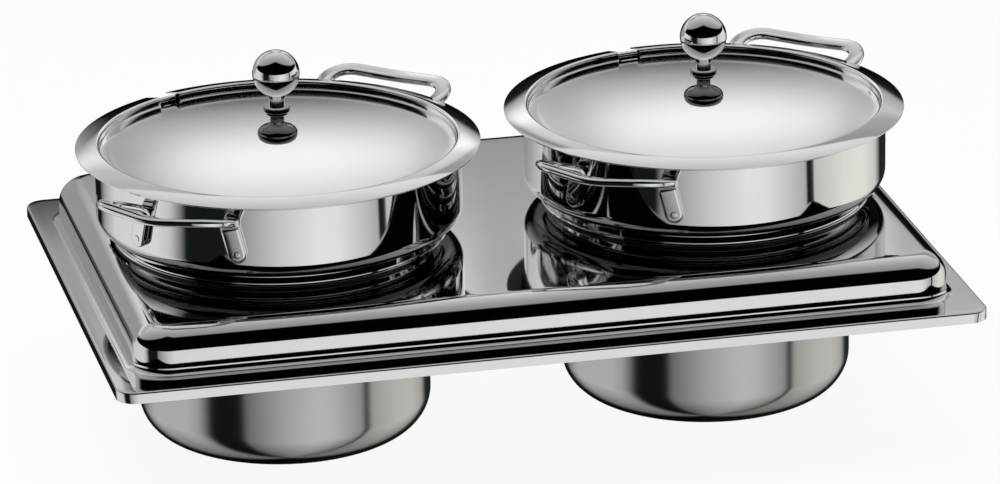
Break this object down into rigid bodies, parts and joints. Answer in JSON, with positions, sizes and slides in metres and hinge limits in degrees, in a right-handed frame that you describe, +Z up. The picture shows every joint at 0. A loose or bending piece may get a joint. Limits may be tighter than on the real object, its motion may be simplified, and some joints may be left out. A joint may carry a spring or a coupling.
{
  "type": "soup chafing dish",
  "caption": "Twin soup station insert: pressed cover plate that hangs by its rim in a chafing frame, with stepped soup pots, cast loop handles and lift-off domed lids with ball knobs.",
  "frame": {"origin": "centre of the cover plate, in the plane of the underside of its rim, on which it hangs", "axes": "+X along the long side of the plate, from the left pot to the right one, +Z up"},
  "size_m": [0.573, 0.383, 0.2605],
  "materials": {
    "plate_steel": "mirror polished",
    "pot_steel": "mirror polished",
    "lid_steel": "mirror polished",
    "handle_steel": "polished casting",
    "knob_steel": "mirror polished, turned",
    "fastener_steel": "plain turned"
  },
  "bodies": {
    "plate": {"cover_plate": "plate_steel"},
    "pot_left_body": {"pot_left": "pot_steel", "handle_left_rear": "handle_steel", "rivets_left_rear": "fastener_steel", "handle_left_front": "handle_steel", "rivets_left_front": "fastener_steel"},
    "lid_left_body": {"lid_left": "lid_steel", "knob_foot_left": "knob_steel", "knob_collar_left": "knob_steel", "knob_ball_left": "knob_steel", "knob_washer_left": "fastener_steel", "knob_screw_left": "fastener_steel"},
    "pot_right_body": {"pot_right": "pot_steel", "handle_right_rear": "handle_steel", "rivets_right_rear": "fastener_steel", "handle_right_front": "handle_steel", "rivets_right_front": "fastener_steel"},
    "lid_right_body": {"lid_right": "lid_steel", "knob_foot_right": "knob_steel", "knob_collar_right": "knob_steel", "knob_ball_right": "knob_steel", "knob_washer_right": "fastener_steel", "knob_screw_right": "fastener_steel"}
  },
  "joints": [
    {"name": "pot_left_lift", "type": "slide", "parent": "plate", "child": "pot_left_body", "axis": [0, 0, 1], "range_m": [0, 0.165]},
    {"name": "lid_left_lift", "type": "slide", "parent": "pot_left_body", "child": "lid_left_body", "axis": [0, 0, 1], "range_m": [0, 0.09]},
    {"name": "pot_right_lift", "type": "slide", "parent": "plate", "child": "pot_right_body", "axis": [0, 0, 1], "range_m": [0, 0.165]},
    {"name": "lid_right_lift", "type": "slide", "parent": "pot_right_body", "child": "lid_right_body", "axis": [0, 0, 1], "range_m": [0, 0.09]}
  ]
}
